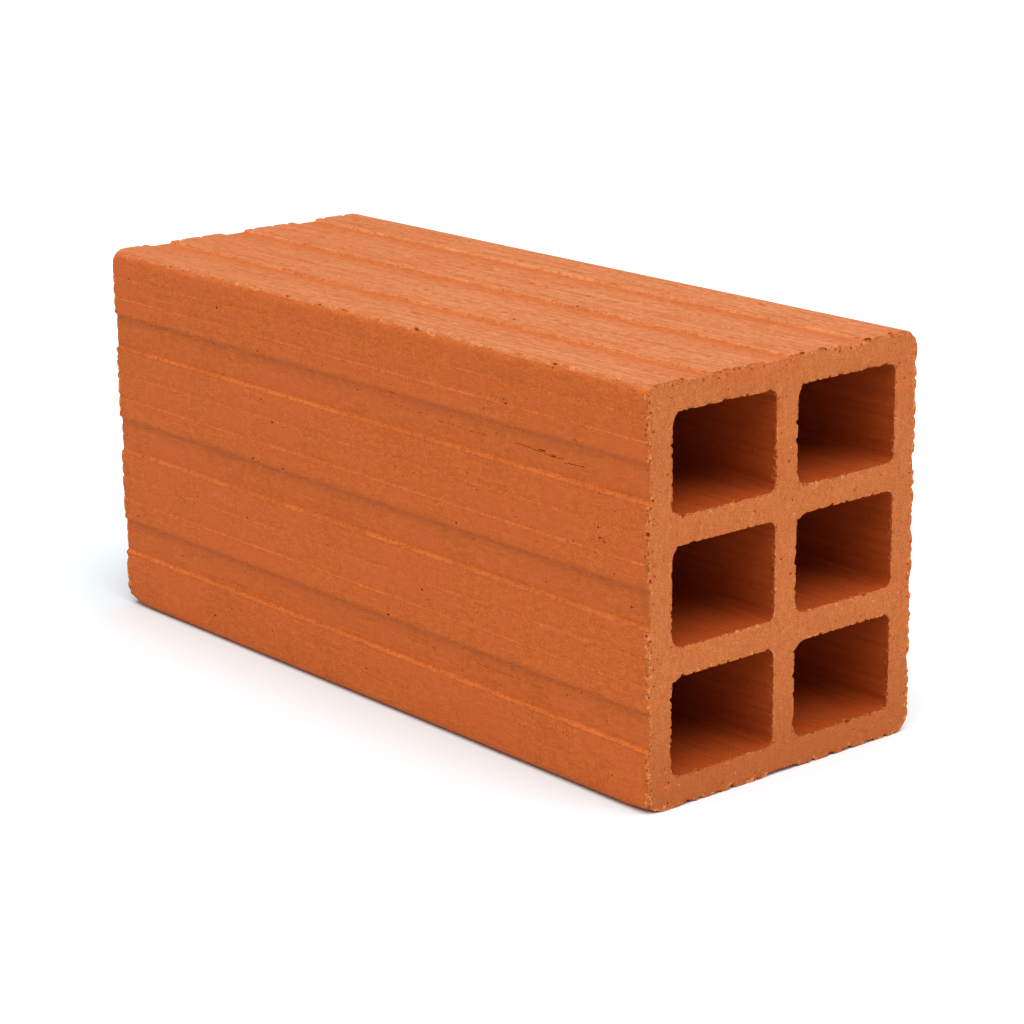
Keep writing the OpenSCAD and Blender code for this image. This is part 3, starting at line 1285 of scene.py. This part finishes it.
@dataclass(frozen=True)
class FiredClay:
    """Finish of the fired clay, in linear colours.

    The last nine fields are the values of the shared groups, in the order of their inputs.
    """

    skin: Colour = (0.70, 0.153, 0.024, 1.0)
    skin_dark: Colour = (0.52, 0.102, 0.014, 1.0)
    skin_red: Colour = (0.60, 0.112, 0.022, 1.0)
    cut: Colour = (0.72, 0.208, 0.054, 1.0)
    cut_dark: Colour = (0.51, 0.122, 0.026, 1.0)
    inside: Colour = (0.46, 0.072, 0.006, 1.0)
    inside_dark: Colour = (0.36, 0.050, 0.004, 1.0)
    # painted highlight on the groove walls and comb marks
    painted_highlight: Colour = (0.86, 0.215, 0.038, 1.0)
    crumb: Colour = (0.84, 0.27, 0.075, 1.0)
    # painted shade, beside the groove edges and towards the foot of the ends
    painted_shade: Colour = (0.30, 0.085, 0.030, 1.0)
    # pale dusting with painted sheen of the upper bed
    dust_and_sheen: Colour = (0.655, 0.252, 0.105, 1.0)
    dust_and_sheen_dark: Colour = (0.545, 0.168, 0.057, 1.0)
    # painted highlight on the walls of the upper bed
    sheen_highlight: Colour = (0.80, 0.33, 0.140, 1.0)
    grit: Colour = (0.85, 0.50, 0.25, 1.0)
    # painted shade in pits, pinholes and cracks, with darker clay in the bitten ones
    hole: Colour = (0.12, 0.022, 0.008, 1.0)
    roughness: float = 0.82
    specular: float = 0.2
    relief: float = MM
    # the dusting and painted sheen thin out towards the far end
    thin_dust_and_sheen: Span = (0.06, -0.11)
    # painted shade towards the foot of the cut ends, by height
    painted_foot_shade: Span = (0.034, 0.0)
    sand: Span = (2600.0, 700.0)
    patches: Span = (1100.0, 48.0)
    lines: Span = (900.0, 0.05)
    brushing: Span = (1000.0, 0.35)
    ticks: Span = (1350.0, 0.28)
    wire_marks: Span = (900.0, 0.22)
    holes: Place = (280.0, 0.085, 0.40)
    specks: Place = (560.0, 0.16, 0.36)
    grits: Place = (640.0, 0.17, 0.13)

    def make(self, groups: SharedGroups) -> bpy.types.Material:
        """Builds the material.

        Args:
            groups: The shared node groups.

        Returns:
            The fired clay material.
        """
        material = bpy.data.materials.new("fired_clay")
        material.use_nodes = True
        tree = material.node_tree
        tree.nodes.clear()
        sheet = NodeSheet(tree)
        place = sheet.wire(sheet.add("ShaderNodeTexCoord"), "Object")
        marks = {
            mark: sheet.wire(sheet.add("ShaderNodeAttribute", attribute_name=mark.value), "Fac")
            for mark in Mark
        }
        cut, worn, painted_highlight = marks[Mark.CUT], marks[Mark.WORN], marks[Mark.PAINTED_HIGHLIGHT]
        ledge_shade, dust_and_sheen = marks[Mark.LEDGE_SHADE], marks[Mark.BLOOM]
        turned = {"Vector": place, "Rotation": (0.0, math.pi / 2, 0.0)}
        upright = sheet.wire(sheet.add("ShaderNodeMapping", turned))
        sand = sheet.shared(groups.grain, place, self.sand)
        fine, mid = sheet.wire(sand, "Height"), sheet.wire(sand, "Tone")
        broad = sheet.wire(sheet.shared(groups.grain, place, self.patches), "Tone")
        lines, brushed, ticks = (
            sheet.wire(sheet.shared(groups.drag, place, values))
            for values in (self.lines, self.brushing, self.ticks)
        )
        wired = sheet.wire(sheet.shared(groups.drag, upright, self.wire_marks))
        holes, specks, grits = (
            sheet.wire(sheet.shared(groups.pinholes, place, values))
            for values in (self.holes, self.specks, self.grits)
        )
        spot = sheet.add("ShaderNodeSeparateXYZ", {"Vector": place})

        # painted highlight on the groove walls and comb marks that face the light, painted shade
        # beside the groove edges
        rough_line = (mid - 0.5) * 1.9 + (fine - 0.5) * 0.9
        patchy = broad.ramp(0.42, 0.60) * 0.55 + 0.50
        bright = (painted_highlight + rough_line * 1.5).ramp(0.58, 1.10) * patchy
        shade = ledge_shade * 0.85 + (rough_line * ledge_shade) * 0.5

        # pale dusting and painted sheen of the upper bed, thinner towards the far end, with its
        # painted highlight
        powder = (lines * 0.55 + brushed * 0.45).ramp(0.40, 0.60)
        thin = sheet.wire(spot, "X").ramp(*self.thin_dust_and_sheen) * 0.4
        pale = sheet.coat(
            sheet.mix(powder, self.dust_and_sheen_dark, self.dust_and_sheen),
            (thin, self.dust_and_sheen_dark),
            # painted highlight on the upper bed
            (bright * 0.85, self.sheen_highlight),
        )

        # long faces: the dragged skin, painted shade in its recesses, then its painted highlight,
        # dusting with painted sheen, ticks and painted shade
        tone = (brushed * 0.25 + fine * 0.47) + (broad * 0.17 + wired * 0.11)
        level = tone.ramp(0.42, 0.58)
        # dust and painted sheen are kept out of the painted shade
        unshaded = sheet.math("SUBTRACT", 1.0, ledge_shade * 0.80, clamp=True)
        skin = sheet.coat(
            sheet.mix(level, self.skin_dark, self.skin),
            (broad.ramp(0.44, 0.64) * 0.55, self.skin_red),
            (lines.ramp(0.58, 0.72) * 0.14, self.crumb),
            (lines.ramp(0.42, 0.28) * 0.20, self.inside),
            # painted shade in the recesses
            (marks[Mark.RECESS_SHADE] * 0.04, self.inside),
            # painted highlight
            (bright * 0.62, self.painted_highlight),
            # dusting with painted sheen
            ((dust_and_sheen * ((level + 1.6) * 0.36)) * unshaded, pale),
            (ticks.ramp(0.57, 0.69) * (dust_and_sheen * 0.32 + 0.38), self.inside),
            # painted shade beside the groove edges
            (shade * (0.30 - dust_and_sheen * 0.12), self.painted_shade),
        )

        # wire-cut ends, with painted shade towards the foot and in their tiny pits, and cell walls
        sandy = (fine * 0.74 + mid * 0.26).ramp(0.39, 0.61)
        ends = sandy * 0.75 + wired.ramp(0.36, 0.64) * 0.25
        foot = sheet.wire(spot, "Z").ramp(*self.painted_foot_shade)
        ends = sheet.coat(
            sheet.mix(ends, self.cut_dark, self.cut),
            (broad.ramp(0.46, 0.64) * 0.22, self.skin_red),
            # painted shade towards the foot
            (foot * 0.48, self.skin_dark),
            (foot * 0.18, self.painted_shade),
            # painted shade in the tiny pits of the ends
            (specks * 0.52, self.hole),
            (grits * 0.60, self.grit),
        )
        walls = (lines * 0.5 + tone * 0.5).ramp(0.38, 0.62)

        # crumbs along the arrises, with painted shade and darker clay in the gaps between them,
        # then painted shade in the pinholes and painted shade with darker clay in the bitten pits
        uneven = (mid - 0.5) * 2.4 + (fine - 0.5) * 0.9
        crumbs = (worn * 0.75 + uneven).ramp(0.45, 0.75)
        gaps = (worn * 0.55 - uneven).ramp(0.52, 0.80)
        near = worn.ramp(0.05, 0.5)
        colour = sheet.coat(
            skin,
            (marks[Mark.WALL], sheet.mix(walls, self.inside_dark, self.inside)),
            (cut, ends),
            (near * crumbs, self.crumb),
            # painted shade and darker clay between the crumbs
            (near * (gaps * 0.45), self.inside_dark),
            # painted shade in the pinholes
            (holes * 0.55, self.hole),
            # painted shade and darker clay in the bitten pits
            (marks[Mark.PIT_SHADE] * 0.85, self.hole),
        )

        # relief, in shares of its full height
        sanded, dragged = fine * 0.26 + mid * 0.24, (lines * 0.14) * (1.0 - cut)
        height = (sanded + dragged) + (fine * 0.20) * cut
        lumps = sheet.math("MAXIMUM", painted_highlight * 0.32, worn * 0.50)
        height = height + sheet.math("MAXIMUM", lumps, cut * 0.22) * mid
        height = (height - holes * 0.30) - (specks * 0.15) * cut
        bump = {"Strength": 1.0, "Distance": self.relief, "Height": height}
        looks = {
            "Base Color": colour,
            "Roughness": fine * 0.2 + (self.roughness - 0.1),
            "Normal": sheet.wire(sheet.add("ShaderNodeBump", bump)),
            "Specular IOR Level": self.specular,
        }
        shader = sheet.add("ShaderNodeBsdfPrincipled", looks)
        sheet.add("ShaderNodeOutputMaterial", {"Surface": sheet.wire(shader)})
        return material


@dataclass(frozen=True)
class Studio:
    """Pale floor, soft light and the camera. Angles are in degrees, but for the light's width."""

    azimuth: float = 50.18
    elevation: float = 15.94
    roll: float = -0.67
    distance: float = 0.786
    aim: Place = (0.0060, 0.0031, -0.0091)
    lens: float = 102.5
    floor_half: float = 4.0
    floor_colour: Colour = (0.83, 0.895, 0.915, 1.0)
    floor_roughness: float = 0.9
    sky: float = 0.48
    sky_colour: Colour = (1.0, 1.0, 1.0, 1.0)
    overhead: Place = (0.32, -0.12, 1.0)
    overhead_energy: float = 3.0
    overhead_angle: float = math.radians(60)

    def build(self, section: Section) -> None:
        """Sets the floor, the lights, the sky and the camera round the brick.

        Args:
            section: The brick's section, whose box the camera is aimed at.
        """
        self.lay_floor()
        self.hang_lights()
        self.place_camera((section.low + section.high) / 2)

    def lay_floor(self) -> None:
        """Lays a plain pale floor under the brick."""
        bm = bmesh.new()
        bmesh.ops.create_grid(bm, x_segments=1, y_segments=1, size=self.floor_half)
        mesh = bpy.data.meshes.new("floor")
        bm.to_mesh(mesh)
        bm.free()
        floor = bpy.data.objects.new("floor", mesh)
        bpy.context.scene.collection.objects.link(floor)
        material = bpy.data.materials.new("pale_floor")
        material.use_nodes = True
        shader = material.node_tree.nodes["Principled BSDF"]
        shader.inputs["Base Color"].default_value = self.floor_colour
        shader.inputs["Roughness"].default_value = self.floor_roughness
        shader.inputs["Specular IOR Level"].default_value = 0.0
        mesh.materials.append(material)

    def hang_lights(self) -> None:
        """Hangs one wide soft sun overhead, turned to the brick, and sets an even pale sky."""
        world = bpy.data.worlds.new("studio")
        bpy.context.scene.world = world
        world.use_nodes = True
        sky = world.node_tree.nodes["Background"]
        sky.inputs["Color"].default_value = self.sky_colour
        sky.inputs["Strength"].default_value = self.sky
        lamp = bpy.data.lights.new("overhead", "SUN")
        lamp.energy, lamp.angle = self.overhead_energy, self.overhead_angle
        holder = bpy.data.objects.new("overhead", lamp)
        holder.location = self.overhead
        holder.rotation_mode = "QUATERNION"
        holder.rotation_quaternion = Vector(self.overhead).to_track_quat("Z", "Y")
        bpy.context.scene.collection.objects.link(holder)

    def place_camera(self, centre: Vector) -> None:
        """Places the camera.

        Args:
            centre: Middle of the brick's box.
        """
        a, e = math.radians(self.azimuth), math.radians(self.elevation)
        back = Vector((math.sin(a) * math.cos(e), -math.cos(a) * math.cos(e), math.sin(e)))
        lens = bpy.data.cameras.new("camera")
        lens.lens = self.lens
        camera = bpy.data.objects.new("camera", lens)
        camera.location = centre + Vector(self.aim) + back * self.distance
        camera.rotation_mode = "QUATERNION"
        turn = Quaternion((0.0, 0.0, 1.0), math.radians(self.roll))
        camera.rotation_quaternion = back.to_track_quat("Z", "Y") @ turn
        bpy.context.scene.collection.objects.link(camera)
        bpy.context.scene.camera = camera


def main() -> None:
    """Builds the brick's looks and its studio."""
    logging.basicConfig(level=logging.INFO, format="%(name)s: %(message)s")
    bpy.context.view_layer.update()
    bpy.context.scene.view_settings.view_transform = "Standard"
    section = Section()
    Studio().build(section)
    shell = ClayShell(section).build()
    shell.data.materials.append(FiredClay().make(SharedGroups()))
    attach(shell, "root")
    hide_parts(NODE)
    shell.data.calc_loop_triangles()
    points, triangles = len(shell.data.vertices), len(shell.data.loop_triangles)
    LOG.info("clay_shell: %d points, %d triangles", points, triangles)


if __name__ == "__main__":
    main()
